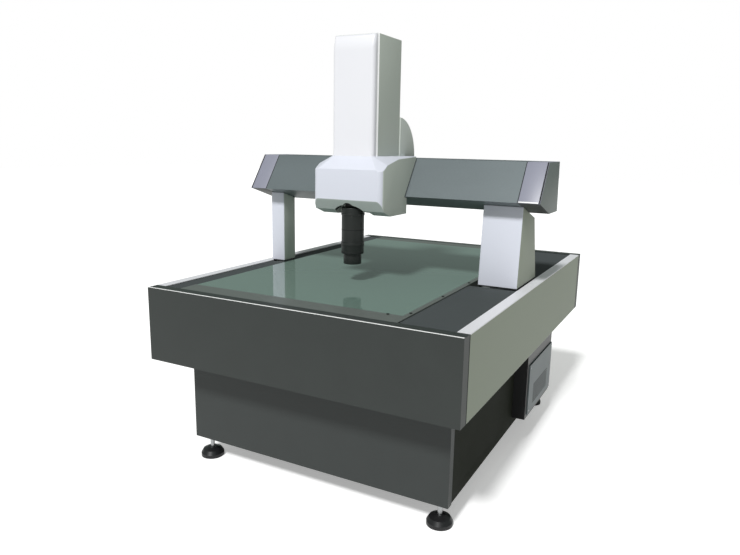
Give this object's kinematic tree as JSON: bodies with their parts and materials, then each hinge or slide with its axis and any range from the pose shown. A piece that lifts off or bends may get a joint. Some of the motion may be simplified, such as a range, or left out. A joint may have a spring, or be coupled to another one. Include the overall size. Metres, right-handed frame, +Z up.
{
  "type": "coordinate measuring machine",
  "caption": "Gantry video coordinate measuring machine: glass stage with backlight, moving bridge, carriage on the beam and a vertical lens slide.",
  "frame": {"origin": "on the floor under the table's centre", "axes": "+X to the right along the bridge beam, +Y from the front to the rear along the table, +Z up"},
  "size_m": [1.572, 2.086, 1.995],
  "materials": {
    "skirt_white": "semi-gloss white powder coat",
    "cover_white": "semi-gloss white paint",
    "cover_grey": "fine-textured steel grey paint",
    "cover_dark": "fine-textured dark grey paint",
    "beam_light": "satin light grey paint",
    "frame_paint": "matt dark grey paint",
    "granite": "honed dark granite",
    "steel": "ground steel",
    "screw_steel": "polished",
    "aluminium": "clear anodised",
    "black_metal": "black anodised",
    "black_plastic": "moulded black",
    "bellows_cloth": "coated bellows cloth",
    "stage_glass": "clear float glass with a green tint",
    "lamp_white": "opal diffuser",
    "motor_black": "black motor housing"
  },
  "bodies": {
    "table": {"stand_legs": "frame_paint", "stand_beams": "frame_paint", "foot_pads": "black_plastic", "granite_base": "granite", "y_guide_rails": "steel", "stage_stands": "aluminium", "stage_beam_left": "aluminium", "stage_beam_right": "aluminium", "glass_pane": "stage_glass", "stage_end_plates": "aluminium", "stage_screws": "black_metal", "front_cover": "cover_dark", "rear_cover": "cover_dark", "side_panel_right": "skirt_white", "side_panel_left": "skirt_white", "bellows_right_front": "bellows_cloth", "bellows_right_rear": "bellows_cloth", "bellows_left_front": "bellows_cloth", "bellows_left_rear": "bellows_cloth", "cabinet_front": "cover_dark", "cabinet_rear": "cover_dark", "cabinet_left": "cover_dark", "cabinet_right": "cover_dark", "control_box": "black_plastic", "control_box_panel": "cover_grey", "y_drive_motor": "motor_black"},
    "bridge": {"lower_crossbeam": "aluminium", "y_runner_blocks": "steel", "right_leg": "aluminium", "left_leg": "aluminium", "right_column_cover": "cover_white", "left_column_cover": "cover_white", "beam_core": "aluminium", "beam_front_cover": "cover_grey", "beam_rear_cover": "cover_grey", "beam_cap_right": "beam_light", "beam_cap_left": "cover_grey", "x_guide_rails": "steel", "x_drive_motor": "motor_black"},
    "x_carriage": {"carriage_bracket": "aluminium", "x_runner_blocks": "steel", "carriage_cover": "cover_white", "tower_cover": "cover_white", "tower_rear_cover": "cover_white", "z_guide_rails": "steel", "z_drive_motor": "motor_black"},
    "z_slide": {"slide_plate": "aluminium", "lens_clamp": "aluminium", "lens_tube": "black_metal", "lens_tip": "black_metal", "camera_housing": "black_metal"},
    "backlight": {"backlight_housing": "black_metal", "backlight_diffuser": "lamp_white"},
    "y_screw": {"y_ball_screw": "screw_steel"},
    "x_screw": {"x_ball_screw": "screw_steel"},
    "z_screw": {"z_ball_screw": "screw_steel"},
    "stem_front_left": {"foot_stem_front_left": "screw_steel"},
    "stem_front_right": {"foot_stem_front_right": "screw_steel"},
    "stem_rear_left": {"foot_stem_rear_left": "screw_steel"},
    "stem_rear_right": {"foot_stem_rear_right": "screw_steel"}
  },
  "joints": [
    {"name": "y_travel", "type": "slide", "parent": "table", "child": "bridge", "axis": [0, 1, 0], "range_m": [-0.43, 0.55], "deforming": ["bellows_right_front", "bellows_left_front", "bellows_right_rear", "bellows_left_rear"]},
    {"name": "x_travel", "type": "slide", "parent": "bridge", "child": "x_carriage", "axis": [1, 0, 0], "range_m": [-0.44, 0.36]},
    {"name": "z_travel", "type": "slide", "parent": "x_carriage", "child": "z_slide", "axis": [0, 0, 1], "range_m": [-0.05, 0.13]},
    {"name": "backlight_travel", "type": "slide", "parent": "bridge", "child": "backlight", "axis": [1, 0, 0], "range_m": [-0.44, 0.36]},
    {"name": "y_screw_turn", "type": "hinge", "parent": "table", "child": "y_screw", "pos_m": [0, 0, 0.74], "axis": [0, 1, 0], "continuous": true},
    {"name": "x_screw_turn", "type": "hinge", "parent": "bridge", "child": "x_screw", "pos_m": [0, -0.06, 1.418], "axis": [1, 0, 0], "continuous": true},
    {"name": "z_screw_turn", "type": "hinge", "parent": "x_carriage", "child": "z_screw", "pos_m": [-0.04, -0.322, 1.5], "axis": [0, 0, 1], "continuous": true},
    {"name": "stem_turn_front_left", "type": "hinge", "parent": "table", "child": "stem_front_left", "pos_m": [-0.603, -0.82, 0.1], "axis": [0, 0, 1], "continuous": true},
    {"name": "stem_turn_front_right", "type": "hinge", "parent": "table", "child": "stem_front_right", "pos_m": [0.603, -0.82, 0.1], "axis": [0, 0, 1], "continuous": true},
    {"name": "stem_turn_rear_left", "type": "hinge", "parent": "table", "child": "stem_rear_left", "pos_m": [-0.603, 0.647, 0.1], "axis": [0, 0, 1], "continuous": true},
    {"name": "stem_turn_rear_right", "type": "hinge", "parent": "table", "child": "stem_rear_right", "pos_m": [0.603, 0.647, 0.1], "axis": [0, 0, 1], "continuous": true}
  ],
  "couplings": [
    {"joint": "backlight_travel", "follows": "x_travel", "ratio": 1},
    {"joint": "y_screw_turn", "follows": "y_travel", "rad_per_m": 157.08},
    {"joint": "x_screw_turn", "follows": "x_travel", "rad_per_m": 157.08},
    {"joint": "z_screw_turn", "follows": "z_travel", "rad_per_m": 628.32}
  ]
}
